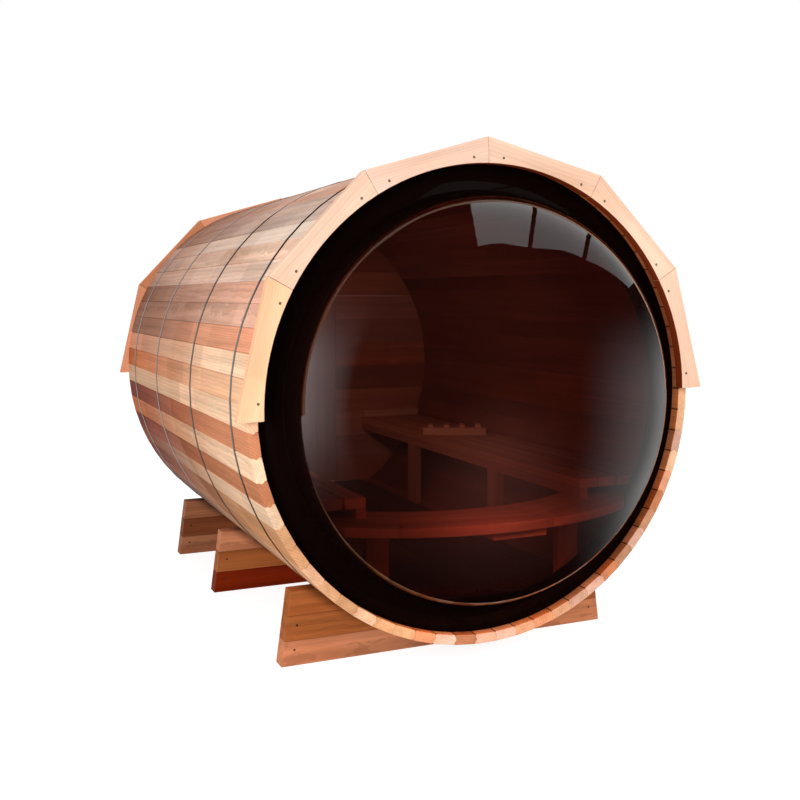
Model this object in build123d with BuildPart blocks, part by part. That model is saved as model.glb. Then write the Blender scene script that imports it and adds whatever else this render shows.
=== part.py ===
from build123d import *
import os
from math import atan2, ceil, cos, degrees, radians, sin, sqrt, tan

# Barrel sauna with a bubble window, in millimetres. The barrel's axis runs along Y,
# the bubble faces -Y, the ground is z = 0, and the origin lies on the ground under the
# middle of the whole object. A station is a distance back from the staves' front ends.

# Barrel of cedar staves, joined bead in cove
barrel_radius = 914.4
barrel_length = 2438.4
barrel_clearance = 88.6
stave_thickness = 38.0
staves_per_panel = 5
panel_count = 13
first_joint_angle = 1.33
joint_groove = 2.5
bead_radius = 13.8
bead_height = 6.0
seat_gap = 0.2

# Steel bands round the barrel, each drawn tight by a bolt between two lugs underneath
band_width = 20.0
band_thickness = 1.5
first_band = 215.0
second_band = 870.0
third_band_from_rear = 828.4
last_band_from_rear = 221.4
clamp_gap = 24.0
lug_thickness = 3.0
lug_height = 26.0
clamp_bolt = 8.0
clamp_bolt_length = 52.0
clamp_nut = 15.0
clamp_nut_thickness = 6.5
nut_sides = 6

# Fascia boards over the upper half of both ends
fascia_boards = 6
fascia_span_angle = 30.0
fascia_turn_angle = 1.6
fascia_overhang = 42.6
fascia_lap = 12.0
fascia_thickness = 38.0

# Cradles under the barrel
front_cradle = 291.0
middle_cradle_shift = 134.8
rear_cradle_from_rear = 304.4
cradle_thickness = 70.0
saddle_rise = 201.4
cradle_foot_width = 1430.0
cradle_top_width = 1348.0
cradle_courses = 3
seam_depth = 2.5

# Bubble window of tinted acrylic, on a ring inside the barrel's mouth
window_recess = 38.0
acrylic_thickness = 8.0
flange_width = 103.3
bubble_depth = 340.0
bubble_shoulder = 270.0
ring_width = 45.0
ring_thickness = 20.0

# Rear wall and its door
wall_thickness = 38.0
wall_board = 140.0
door_width = 580.0
door_head_drop = 163.3
door_boards = 5
door_gap = 3.0
hinge_length = 330.0
hinge_width = 45.0
hinge_thickness = 4.0
hinge_inset = 180.0
handle_height = 260.0
handle_reach = 36.0
handle_width = 30.0

# Floor deck
deck_rise = 157.3
deck_thickness = 22.0
deck_slat = 88.0
deck_slats = 10
deck_start = 75.0
sleeper_height = 38.0
sleeper_width = 60.0
sleeper_count = 4
sleeper_inset = 105.0

# Side benches
bench_height = 386.0
bench_inner_edge = 458.0
bench_slat = 82.0
slat_gap = 8.0
slat_thickness = 38.0
rail_height = 38.0
rail_width = 38.0
bench_start = 70.0
first_bearer = 700.0
bearer_count = 4
bearer_inset = 60.0
first_leg = 740.0
last_leg_from_rear = 798.4
leg_width = 89.0
batten_height = 38.0
batten_thickness = 30.0

# Curved bench in the bubble
front_bench_centre = 890.0
front_bench_outer = 1095.0
front_bench_inner = 820.0
front_bench_thickness = 36.0
post_outer_edge = 455.0
post_thickness = 38.0
splice_offset = 41.0
splice_width = 220.0
splice_thickness = 30.0
splice_length = 200.0
splice_setback = 30.0

# Headrest on the right bench
headrest_length = 330.0
headrest_depth = 60.0
headrest_height = 37.0
headrest_turn_angle = -24.0
headrest_inset = 142.0
headrest_station = 1450.0
bump_count = 4
bump_width = 28.0
bump_height = 18.0

# What follows from the sizes above
axis_height = barrel_radius + barrel_clearance
stave_count = staves_per_panel * panel_count
stave_step = 360 / stave_count
half_step = radians(stave_step / 2)
stave_apothem = barrel_radius * cos(half_step)
bore_apothem = stave_apothem - stave_thickness
bore_radius = bore_apothem / cos(half_step)
band_radius = (stave_apothem + band_thickness) / cos(half_step)
fascia_inner_radius = bore_apothem - fascia_lap
fascia_outer_radius = barrel_radius + fascia_overhang
cradle_height = barrel_clearance + saddle_rise
bubble_radius = bore_apothem - flange_width
bubble_crown = (
    (bubble_radius - bubble_shoulder) ** 2 + bubble_depth**2 - bubble_shoulder**2
) / (2 * (bubble_depth - bubble_shoulder))
front_end = window_recess - bubble_depth
rear_end = barrel_length + fascia_thickness
middle = (front_end + rear_end) / 2
wall_station = barrel_length - wall_thickness
ring_station = window_recess + acrylic_thickness
ring_end = ring_station + ring_thickness
deck_top = axis_height - bore_apothem + deck_rise
door_sill = deck_top
door_head = axis_height + bore_apothem - door_head_drop
bench_top = deck_top + bench_height
slat_bottom = bench_top - slat_thickness
rail_bottom = slat_bottom - rail_height
bench_reach = sqrt(bore_apothem**2 - (axis_height - slat_bottom) ** 2)
bench_slats = ceil((bench_reach - bench_inner_edge) / (bench_slat + slat_gap))
front_bench_top = rail_bottom
front_bench_bottom = front_bench_top - front_bench_thickness

os.makedirs("parts", exist_ok=True)


def across(station, height=axis_height):
    """Plane across the barrel at a station: x to the right, y up, seen from the bubble."""
    return Plane(origin=(0, station - middle, height), x_dir=(1, 0, 0), z_dir=(0, -1, 0))


def level(height):
    """Level plane whose y is the station."""
    return Plane(origin=(0, -middle, height), x_dir=(1, 0, 0), z_dir=(0, 0, 1))


def at_angle(radius, angle):
    return (radius * cos(radians(angle)), radius * sin(radians(angle)))


def save(piece, name):
    piece.part.label = name
    export_step(piece.part, f"parts/{name}.step")


def bore_outline():
    """The staves' inner faces, with the gap that a piece seated in them needs."""
    RegularPolygon(bore_radius - seat_gap, stave_count, rotation=first_joint_angle)


def level_seam(x_low, x_high, station, height):
    """V groove along X, centred on a face at a station."""
    with BuildSketch(Plane.YZ.offset(x_low)) as groove:
        with Locations((station - middle, height)):
            Rectangle(seam_depth, seam_depth, rotation=45)
    extrude(groove.sketch, amount=x_high - x_low, mode=Mode.SUBTRACT)


def bubble_outline(inset):
    """Half of the bubble's section, a shoulder arc that runs into a flatter crown arc."""
    shoulder_reach = bubble_radius - bubble_shoulder
    crown_station = front_end + bubble_crown
    turn = degrees(atan2(bubble_crown - bubble_depth, shoulder_reach))
    shoulder = CenterArc((shoulder_reach, window_recess), bubble_shoulder - inset, 0, -turn)
    crown = CenterArc((0, crown_station), bubble_crown - inset, -turn, turn - 90)
    return shoulder @ 0, crown @ 1


# The room inside the shell, which benches and floor are trimmed to

with BuildPart() as room:
    with BuildSketch(level(axis_height)):
        with BuildLine():
            room_edge, room_front = bubble_outline(acrylic_thickness + seat_gap)
            Polyline(
                room_edge,
                (room_edge.X, ring_station + seat_gap),
                (bore_apothem - ring_width - seat_gap, ring_station + seat_gap),
                (bore_apothem - ring_width - seat_gap, ring_end + seat_gap),
                (bore_apothem - seat_gap, ring_end + seat_gap),
                (bore_apothem - seat_gap, wall_station),
                (0, wall_station),
                room_front,
            )
        make_face()
    revolve(axis=Axis((0, 0, axis_height), (0, 1, 0)))


# Staves: one flat-faced stave, repeated round each panel. The panel ends in a bead, and
# its first edge is coved to take the bead of the panel before.

def bead_place(joint_angle):
    """Centre of the bead at a joint, set back into the stave that carries it."""
    joint_radius = (bore_radius + barrel_radius) / 2
    set_back = degrees((bead_radius - bead_height) / joint_radius)
    return at_angle(joint_radius, joint_angle - set_back)


def stave_panel(number):
    outer_half = stave_apothem * tan(half_step)
    inner_half = bore_apothem * tan(half_step)
    start = first_joint_angle + number * staves_per_panel * stave_step
    end = start + staves_per_panel * stave_step
    with BuildSketch(Plane.XY, mode=Mode.PRIVATE) as stave:
        with BuildLine():
            Polyline(
                (bore_apothem, -inner_half),
                (stave_apothem, -outer_half),
                (stave_apothem, outer_half),
                (bore_apothem, inner_half),
                close=True,
            )
        make_face()
        chamfer(stave.vertices().group_by(Axis.X)[-1], length=joint_groove)
    with BuildPart() as panel:
        with BuildSketch(across(0)):
            for index in range(staves_per_panel):
                add(stave.sketch, rotation=start + (index + 0.5) * stave_step)
            with Locations(bead_place(end)):
                Circle(bead_radius)
            with Locations(bead_place(start)):
                Circle(bead_radius + seat_gap, mode=Mode.SUBTRACT)
        extrude(amount=-barrel_length)
    save(panel, f"stave_panel_{number + 1:02d}")


for number in range(panel_count):
    stave_panel(number)


# Bands: flat steel bent over the staves' corners, split underneath

def band(name, station):
    half_clamp = clamp_gap / 2
    bolt_height = axis_height - stave_apothem - lug_height / 2
    with BuildPart() as strap:
        with BuildSketch(across(station - band_width / 2)):
            RegularPolygon(band_radius, stave_count, rotation=first_joint_angle)
            with Locations((0, -stave_apothem)):
                Rectangle(clamp_gap, barrel_radius, mode=Mode.SUBTRACT)
            for side in (-1, 1):
                with Locations((side * (half_clamp + lug_thickness / 2), -stave_apothem)):
                    Rectangle(lug_thickness, lug_height, align=(Align.CENTER, Align.MAX))
            RegularPolygon(
                barrel_radius, stave_count, rotation=first_joint_angle, mode=Mode.SUBTRACT
            )
        extrude(amount=-band_width)
        with BuildSketch(Plane.YZ.offset(-clamp_bolt_length / 2)):
            with Locations((station - middle, bolt_height)):
                RegularPolygon(clamp_bolt / 2, nut_sides)
        extrude(amount=clamp_bolt_length)
        nut_start = half_clamp + lug_thickness
        for side in (-1, 1):
            with BuildSketch(Plane.YZ.offset(side * nut_start)):
                with Locations((station - middle, bolt_height)):
                    RegularPolygon(clamp_nut / 2, nut_sides)
            extrude(amount=side * clamp_nut_thickness)
    save(strap, name)


band("band_1", first_band)
band("band_2", second_band)
band("band_3", barrel_length - third_band_from_rear)
band("band_4", barrel_length - last_band_from_rear)


# Fascia: mitred boards with straight outer edges and a round inner edge

def fascia_board(name, number, station):
    start = fascia_turn_angle + number * fascia_span_angle
    end = start + fascia_span_angle
    with BuildPart() as board:
        with BuildSketch(across(station)):
            with BuildLine():
                Line(at_angle(fascia_inner_radius, start), at_angle(fascia_outer_radius, start))
                Line(at_angle(fascia_outer_radius, start), at_angle(fascia_outer_radius, end))
                Line(at_angle(fascia_outer_radius, end), at_angle(fascia_inner_radius, end))
                CenterArc((0, 0), fascia_inner_radius, end, -fascia_span_angle)
            make_face()
        extrude(amount=-fascia_thickness)
    save(board, f"{name}_{number + 1}")


for number in range(fascia_boards):
    fascia_board("front_fascia", number, -fascia_thickness)
    fascia_board("rear_fascia", number, barrel_length)


# Cradles: stacked boards with slanted ends and a hollow for the barrel

def cradle(name, station):
    half_foot = cradle_foot_width / 2
    half_top = cradle_top_width / 2
    with BuildPart() as stack:
        with BuildSketch(across(station, 0)):
            with BuildLine():
                Polyline(
                    (-half_foot, 0),
                    (half_foot, 0),
                    (half_top, cradle_height),
                    (-half_top, cradle_height),
                    close=True,
                )
            make_face()
            with Locations((0, axis_height)):
                Circle(barrel_radius, mode=Mode.SUBTRACT)
        extrude(amount=-cradle_thickness)
        for course in range(1, cradle_courses):
            seam_height = cradle_height * course / cradle_courses
            for face in (station, station + cradle_thickness):
                level_seam(-half_foot, half_foot, face, seam_height)
    save(stack, name)


cradle("cradle_front", front_cradle)
cradle("cradle_middle", barrel_length / 2 + middle_cradle_shift)
cradle("cradle_rear", barrel_length - rear_cradle_from_rear)


# Bubble window: a blown bubble, the flange that it rises from, and the ring behind it,
# all turned about the barrel's axis

with BuildPart() as bubble:
    with BuildSketch(level(axis_height)):
        with BuildLine():
            outer_edge, outer_front = bubble_outline(0)
            inner_edge, inner_front = bubble_outline(acrylic_thickness)
            Line(outer_front, inner_front)
            Polyline(
                inner_edge,
                (inner_edge.X, ring_station),
                (outer_edge.X, ring_station),
                outer_edge,
            )
        make_face()
    revolve(axis=Axis((0, 0, axis_height), (0, 1, 0)))
save(bubble, "dome_window")

with BuildPart() as flange:
    with BuildSketch(across(window_recess)):
        Circle(bore_apothem - seat_gap)
        Circle(bubble_radius, mode=Mode.SUBTRACT)
    extrude(amount=-acrylic_thickness)
save(flange, "window_flange")

with BuildPart() as ring:
    with BuildSketch(across(ring_station)):
        bore_outline()
        Circle(bore_apothem - ring_width, mode=Mode.SUBTRACT)
    extrude(amount=-ring_thickness)
save(ring, "dome_ring")


# Rear wall: level boards cut to the staves, in pieces round the doorway

def wall_boards(x_low, x_high, z_low, z_high):
    """Part of the wall between two uprights and two heights, with its board seams."""
    with BuildSketch(across(wall_station)) as boards:
        bore_outline()
        with Locations(((x_low + x_high) / 2, (z_low + z_high) / 2 - axis_height)):
            Rectangle(x_high - x_low, z_high - z_low, mode=Mode.INTERSECT)
    extrude(boards.sketch, amount=-wall_thickness)
    for course in range(1, ceil(z_high / wall_board)):
        if course * wall_board > z_low:
            level_seam(x_low, x_high, wall_station, course * wall_board)
            level_seam(x_low, x_high, barrel_length, course * wall_board)


def side_wall(name, side):
    """Wall beside the doorway, with the batten that rests on the bench."""
    near = side * door_width / 2
    far = side * barrel_radius
    bench_width = barrel_radius - bench_inner_edge
    with BuildPart() as wall:
        wall_boards(min(near, far), max(near, far), 0, wall_top)
        with BuildSketch(across(wall_station)):
            bore_outline()
            batten_middle = side * (bench_inner_edge + bench_width / 2)
            with Locations((batten_middle, bench_top + batten_height / 2 - axis_height)):
                Rectangle(bench_width, batten_height, mode=Mode.INTERSECT)
        extrude(amount=batten_thickness)
    save(wall, name)


half_door = door_width / 2
wall_top = axis_height + barrel_radius
side_wall("rear_wall_left", -1)
side_wall("rear_wall_right", 1)

with BuildPart() as wall_middle:
    wall_boards(-half_door, half_door, 0, door_sill)
    wall_boards(-half_door, half_door, door_head, wall_top)
save(wall_middle, "rear_wall_middle")

door_height = door_head - door_sill
door_middle = (door_head + door_sill) / 2

with BuildPart() as door:
    with BuildSketch(across(wall_station, door_middle)):
        Rectangle(door_width - 2 * door_gap, door_height - 2 * door_gap)
    extrude(amount=-wall_thickness)
    with BuildSketch(Plane.XY.offset(door_sill)):
        for station in (wall_station, barrel_length):
            with Locations((0, station - middle)):
                with GridLocations(door_width / door_boards, 0, door_boards - 1, 1):
                    Rectangle(seam_depth, seam_depth, rotation=45)
    extrude(amount=door_height, mode=Mode.SUBTRACT)
save(door, "rear_door")

with BuildPart() as fittings:
    hinge_height = door_height / 2 - hinge_inset
    hinge_start = half_door + hinge_width
    with BuildSketch(across(barrel_length, door_middle)):
        for side in (-1, 1):
            with Locations((hinge_start - hinge_length / 2, side * hinge_height)):
                SlotOverall(hinge_length, hinge_width)
    extrude(amount=-hinge_thickness)
    handle_x = -half_door + 2 * hinge_width
    with BuildSketch(across(barrel_length, door_middle)):
        with Locations((handle_x, 0)):
            with GridLocations(0, handle_height - handle_width, 1, 2):
                Circle(handle_width / 2)
    extrude(amount=-handle_reach)
    with BuildSketch(across(barrel_length + handle_reach - handle_width / 2, door_middle)):
        with Locations((handle_x, 0)):
            SlotOverall(handle_height, handle_width, rotation=90)
    extrude(amount=-handle_width / 2)
save(fittings, "door_fittings")


# Floor deck: slats on cross sleepers that are cut to the staves

with BuildPart() as deck:
    sleeper_top = deck_top - deck_thickness
    deck_length = wall_station - deck_start
    sleeper_pitch = (deck_length - 2 * sleeper_inset) / (sleeper_count - 1)
    with BuildSketch(level(sleeper_top)):
        with Locations((0, deck_start + deck_length / 2)):
            with GridLocations(2 * bench_inner_edge / deck_slats, 0, deck_slats, 1):
                Rectangle(deck_slat, deck_length)
    extrude(amount=deck_thickness)
    with BuildSketch(level(sleeper_top - sleeper_height)):
        with Locations((0, deck_start + deck_length / 2)):
            with GridLocations(0, sleeper_pitch, 1, sleeper_count):
                Rectangle(2 * bench_inner_edge, sleeper_width)
    extrude(amount=sleeper_height)
    add(room.part, mode=Mode.INTERSECT)
save(deck, "floor_deck")


# Side benches: slats along the barrel on bearers, a front rail and two legs

def side_bench(name, side):
    slat_pitch = bench_slat + slat_gap
    bench_width = barrel_radius - bench_inner_edge
    bench_length = wall_station - bench_start
    bench_middle = bench_start + bench_length / 2
    rail_middle = bench_inner_edge + rail_width / 2
    bearer_pitch = (wall_station - bearer_inset - first_bearer) / (bearer_count - 1)
    with BuildPart() as bench:
        with BuildSketch(level(slat_bottom)):
            for index in range(bench_slats):
                slat_middle = bench_inner_edge + bench_slat / 2 + index * slat_pitch
                with Locations((side * slat_middle, bench_middle)):
                    Rectangle(bench_slat, bench_length)
        extrude(amount=slat_thickness)
        with BuildSketch(level(rail_bottom)):
            with Locations((side * rail_middle, bench_middle)):
                Rectangle(rail_width, bench_length)
            for index in range(bearer_count):
                station = first_bearer + index * bearer_pitch
                with Locations((side * (bench_inner_edge + bench_width / 2), station)):
                    Rectangle(bench_width, rail_width)
        extrude(amount=rail_height)
        with BuildSketch(level(0)):
            for station in (first_leg, barrel_length - last_leg_from_rear):
                with Locations((side * rail_middle, station + leg_width / 2)):
                    Rectangle(rail_width, leg_width)
        extrude(amount=rail_bottom)
        add(room.part, mode=Mode.INTERSECT)
    save(bench, name)


side_bench("left_bench", -1)
side_bench("right_bench", 1)


# Curved bench: a half ring whose outer edge follows the bubble, on two posts

with BuildPart() as front_bench:
    with BuildSketch(level(front_bench_bottom)):
        with Locations((0, front_bench_centre)):
            Circle(front_bench_outer)
            Circle(front_bench_inner, mode=Mode.SUBTRACT)
            Rectangle(
                2 * front_bench_outer,
                front_bench_outer,
                align=(Align.CENTER, Align.MIN),
                mode=Mode.SUBTRACT,
            )
    extrude(amount=front_bench_thickness)
    with BuildSketch(level(front_bench_bottom - splice_thickness)):
        splice_start = front_bench_centre - front_bench_outer + splice_setback
        with Locations((splice_offset, splice_start)):
            Rectangle(splice_width, splice_length, align=(Align.CENTER, Align.MIN))
    extrude(amount=splice_thickness)
    with BuildSketch(level(deck_top)):
        post_middle = post_outer_edge - leg_width / 2
        with Locations((0, deck_start + post_thickness / 2)):
            with GridLocations(2 * post_middle, 0, 2, 1):
                Rectangle(leg_width, post_thickness)
    extrude(amount=front_bench_bottom - deck_top)
    add(room.part, mode=Mode.INTERSECT)
save(front_bench, "front_bench")


# Headrest: a bar with soft bumps

with BuildPart() as headrest:
    bar_place = Location((bench_inner_edge + headrest_inset, headrest_station), headrest_turn_angle)
    with BuildSketch(level(bench_top)):
        with Locations(bar_place):
            Rectangle(headrest_length, headrest_depth)
    extrude(amount=headrest_height)
    with BuildSketch(level(bench_top + headrest_height)):
        with Locations(bar_place):
            with GridLocations(headrest_length / bump_count, 0, bump_count, 1):
                Rectangle(bump_width, headrest_depth)
    extrude(amount=bump_height)
save(headrest, "headrest")
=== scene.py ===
import bmesh
import bpy
import random
from math import asin, atan2, cos, degrees, pi, radians, sin, sqrt, tan
from mathutils import Matrix, Vector


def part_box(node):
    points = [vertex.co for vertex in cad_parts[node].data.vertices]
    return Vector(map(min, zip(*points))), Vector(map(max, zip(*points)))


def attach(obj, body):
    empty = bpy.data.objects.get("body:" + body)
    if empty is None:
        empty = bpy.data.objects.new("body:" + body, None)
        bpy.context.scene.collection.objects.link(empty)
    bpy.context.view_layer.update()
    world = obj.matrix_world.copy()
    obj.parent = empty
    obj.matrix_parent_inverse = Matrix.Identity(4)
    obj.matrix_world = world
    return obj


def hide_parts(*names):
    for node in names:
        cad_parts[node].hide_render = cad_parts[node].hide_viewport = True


# Barrel sauna with a bubble window. Metres, +Z up, the barrel runs along Y and the bubble faces -Y.

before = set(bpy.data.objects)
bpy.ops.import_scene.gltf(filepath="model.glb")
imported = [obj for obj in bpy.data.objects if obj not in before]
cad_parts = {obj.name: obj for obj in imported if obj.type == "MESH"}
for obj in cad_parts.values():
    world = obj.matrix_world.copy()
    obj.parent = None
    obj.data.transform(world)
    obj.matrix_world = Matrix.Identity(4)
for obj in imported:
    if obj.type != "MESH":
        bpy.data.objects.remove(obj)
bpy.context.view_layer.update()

barrel = {
    "thickness": 0.038,
    "staves": 65,
    "stavesPerPanel": 5,
    "firstJoint": 1.33,
    "flangeClear": 0.0002,
    "clear": 0.0004,    # between the staves and the room's boards
}

# The barrel's other measures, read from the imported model
flangeLow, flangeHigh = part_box("window_flange")
domeLow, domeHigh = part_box("dome_window")
staveLow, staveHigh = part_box("stave_panel_01")
frontY = staveLow.y
barrelLength = staveHigh.y - frontY
axisZ = (flangeLow.z + flangeHigh.z) / 2
staveStep = 360 / barrel["staves"]
halfStep = radians(staveStep / 2)
boreApothem = (flangeHigh.x - flangeLow.x) / 2 + barrel["flangeClear"]
staveApothem = boreApothem + barrel["thickness"]
barrelRadius = staveApothem / cos(halfStep)
print("frame loaded")


# Colours, written as they look on screen

def screen(r, g, b):
    def linear(value):
        value /= 255
        return value / 12.92 if value <= 0.04045 else ((value + 0.055) / 1.055) ** 2.4
    return (linear(r), linear(g), linear(b), 1.0)


cedarOnScreen = {
    "shell": (248, 222, 202), "cream": (252, 212, 176), "blush": (240, 206, 186), "ash": (216, 188, 172),
    "bisque": (238, 198, 172), "peach": (250, 196, 156), "rose": (226, 176, 152), "honey": (232, 174, 128),
    "salmon": (238, 166, 130), "clay": (204, 152, 126), "fawn": (192, 150, 130), "tan": (212, 154, 118),
    "copper": (216, 142, 102), "brown": (178, 116, 82), "toffee": (178, 104, 56), "acorn": (150, 100, 76),
    "ember": (206, 112, 58), "russet": (190, 104, 62), "umber": (140, 80, 50), "chestnut": (150, 72, 34),
    "wine": (140, 58, 26), "mahogany": (130, 40, 12), "bark": (84, 34, 14),
}
cedar = {name: Vector(screen(*tone)[:3]) for name, tone in cedarOnScreen.items()}


# Places and outlines

def evenly(start, span, steps):
    return [start + span * step / steps for step in range(steps + 1)]


# A point's x and z on a circle, by its angle in degrees
def ringPoint(radius, angle):
    return (radius * cos(radians(angle)), radius * sin(radians(angle)))


def rectangle(x0, y0, x1, y1):
    return [(x0, y0), (x1, y0), (x1, y1), (x0, y1)]


# The outline without points that all but meet
def cleaned(outline, nearest):
    clean = []
    for point in outline:
        if not clean or (Vector(point) - Vector(clean[-1])).length > nearest:
            clean.append(point)
    return clean


# Half a circle's width at a rise over its middle, and 0 past it
def halfAt(radius, rise):
    return sqrt(max(radius**2 - rise**2, 0))


# Upright plane: x to the right, y up, and depth goes back along the barrel, or forward where back is -1
def uprightAt(x, y, z, back=1):
    return Matrix(((1, 0, 0, x), (0, 0, back, y), (0, 1, 0, z), (0, 0, 0, 1)))


def acrossAt(y, z=axisZ):
    return uprightAt(0, y, z)


def levelAt(z):
    return Matrix.Translation((0, 0, z))


def link(made):
    bpy.context.scene.collection.objects.link(made)


def objectFrom(made, name, smooth=False):
    for face in made.faces:
        face.smooth = smooth
    mesh = bpy.data.meshes.new(name)
    made.to_mesh(mesh)
    made.free()
    return bpy.data.objects.new(name, mesh)


# Puts a piece in the scene with its finish, and hides the parts of the frame it stands for
def dress(made, materials, slot, *replaced):
    link(made)
    for material in materials:
        made.data.materials.append(material)
    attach(made, "root")
    if replaced:
        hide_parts(*replaced)
    return made


# Boards of one piece: every point carries where it lies in its board, so that grain runs with the board
class Timber:
    def __init__(self, name):
        self.name = name
        self.points, self.faces, self.grain, self.tint = [], [], [], []
        self.draw = random.Random(name)

    # Where in the log a board is cut from
    def offset(self):
        return Vector([self.draw.uniform(0, most) for most in (40, 4, 4)])

    def add(self, points, faces, grain, tint):
        start = len(self.points)
        self.faces += [[start + index for index in face] for face in faces]
        self.points += points
        self.grain += grain
        self.tint += tint

    # A prism over an outline, with rounded edges; along is the way its grain runs
    def board(self, outline, place, depth, along, tint, edge=0.0015, shade=1.0):
        made = bmesh.new()
        low = [made.verts.new((x, y, 0)) for x, y in outline]
        high = [made.verts.new((x, y, depth)) for x, y in outline]
        made.faces.new(low[::-1])
        made.faces.new(high)
        for index in range(len(outline)):
            after = (index + 1) % len(outline)
            made.faces.new((low[index], low[after], high[after], high[index]))
        bmesh.ops.recalc_face_normals(made, faces=made.faces)
        made.edges.ensure_lookup_table()
        sharp = [e for e in made.edges if e.calc_face_angle(0) > radians(25)]
        bmesh.ops.bevel(made, geom=sharp, offset=edge, segments=2, profile=0.6,
                        affect="EDGES", clamp_overlap=True)
        made.verts.index_update()
        offset = self.offset()
        order = {"x": (0, 1, 2), "y": (1, 0, 2), "z": (2, 0, 1)}[along]
        grain = [Vector([v.co[k] for k in order]) + offset for v in made.verts]
        points = [place @ v.co for v in made.verts]
        faces = [[v.index for v in face.verts] for face in made.faces]
        if place.determinant() < 0:
            faces = [face[::-1] for face in faces]
        made.free()
        self.add(points, faces, grain, [cedar[tint] * shade] * len(points))

    # A board turned in its plane, from an outline drawn before the turn
    def turnedBoard(self, outline, plane, angle, depth, tint, **edge):
        turn = Matrix.Rotation(angle, 4, "Z")
        back = turn.inverted()
        outline = [(back @ Vector((x, y, 0))).xy for x, y in outline]
        self.board(outline, plane @ turn, depth, "x", tint, **edge)

    def piece(self, material, slot, *replaced):
        mesh = bpy.data.meshes.new(self.name)
        mesh.from_pydata([tuple(p) for p in self.points], [], self.faces)
        for name, values in (("grain", self.grain), ("tint", self.tint)):
            layer = mesh.attributes.new(name, "FLOAT_VECTOR", "POINT")
            layer.data.foreach_set("vector", [c for v in values for c in v])
        mesh.update()
        return dress(bpy.data.objects.new(self.name, mesh), [material], slot, *replaced)


# Nodes of one material, or of the world
class Nodes:
    def __init__(self, owner):
        self.owner = owner
        owner.use_nodes = True
        self.tree = owner.node_tree
        self.shader = self.tree.nodes.get("Principled BSDF")

    def put(self, value, socket):
        if isinstance(value, bpy.types.NodeSocket):
            self.tree.links.new(value, socket)
        else:
            socket.default_value = value

    def make(self, kind, values=None, **settings):
        node = self.tree.nodes.new("Shader" + kind)
        for key, value in settings.items():
            setattr(node, key, value)
        for key, value in (values or {}).items():
            self.put(value, node.inputs[key])
        return node

    def join(self, source, target):
        self.put(source, self.shader.inputs[target])

    def surface(self, shader):
        output = [node for node in self.tree.nodes if node.name.endswith("Output")][0]
        self.put(shader.outputs[0], output.inputs["Surface"])

    def attribute(self, name):
        return self.make("NodeAttribute", attribute_name=name).outputs["Vector"]

    def where(self):
        return self.make("NodeTexCoord").outputs["Object"]

    def parts(self, vector):
        return self.make("NodeSeparateXYZ", {0: vector}).outputs

    def scaled(self, vector, scale):
        return self.make("NodeVectorMath", {0: vector, 1: scale}, operation="MULTIPLY").outputs[0]

    def tone(self, colour, factor):
        return self.make("NodeVectorMath", {0: colour, "Scale": factor}, operation="SCALE").outputs[0]

    def noise(self, vector, scale=1.0, detail=3.0, roughness=0.5, distortion=0.0):
        values = {"Vector": vector, "Scale": scale, "Detail": detail, "Roughness": roughness,
                  "Distortion": distortion}
        return self.make("NodeTexNoise", values).outputs["Fac"]

    def spread(self, value, low, high, to0=0.0, to1=1.0, ramp="LINEAR"):
        values = {"Value": value, 1: low, 2: high, 3: to0, 4: to1}
        return self.make("NodeMapRange", values, interpolation_type=ramp).outputs["Result"]

    def smooth(self, *values):
        return self.spread(*values, ramp="SMOOTHSTEP")

    def maths(self, kind, a, b):
        return self.make("NodeMath", {0: a, 1: b}, operation=kind).outputs[0]

    def product(self, first, *others):
        for other in others:
            first = self.maths("MULTIPLY", first, other)
        return first

    def blend(self, factor, a, b):
        return self.make("NodeMix", {0: factor, 6: a, 7: b}, data_type="RGBA").outputs[2]

    def bump(self, height, strength, distance):
        node = self.make("NodeBump", {"Height": height, "Strength": strength, "Distance": distance})
        self.join(node.outputs[0], "Normal")

    # 1 for what the camera sees, by itself, in a mirror or through glass
    def seen(self):
        path = self.make("NodeLightPath").outputs
        total = path["Is Camera Ray"]
        for name in ("Is Glossy Ray", "Is Transmission Ray"):
            total = self.maths("MAXIMUM", total, path[name])
        return total


woodLook = {
    "ringsPerMetre": 105.0, "ringDepth": 0.16, "streakDepth": 0.22, "pieceLength": 0.36,
    "pieceDepth": 0.0, "darkerRed": (0.93, 0.72, 0.58), "roughness": 0.55, "shine": 0.03, "bump": 0.35,
    "bumpHeight": 0.0006,
    # how far the painted shade under the barrel reaches from it, and how dark it is
    "dirtReach": 0.0, "paintedShadeTone": 0.3,
}


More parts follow.
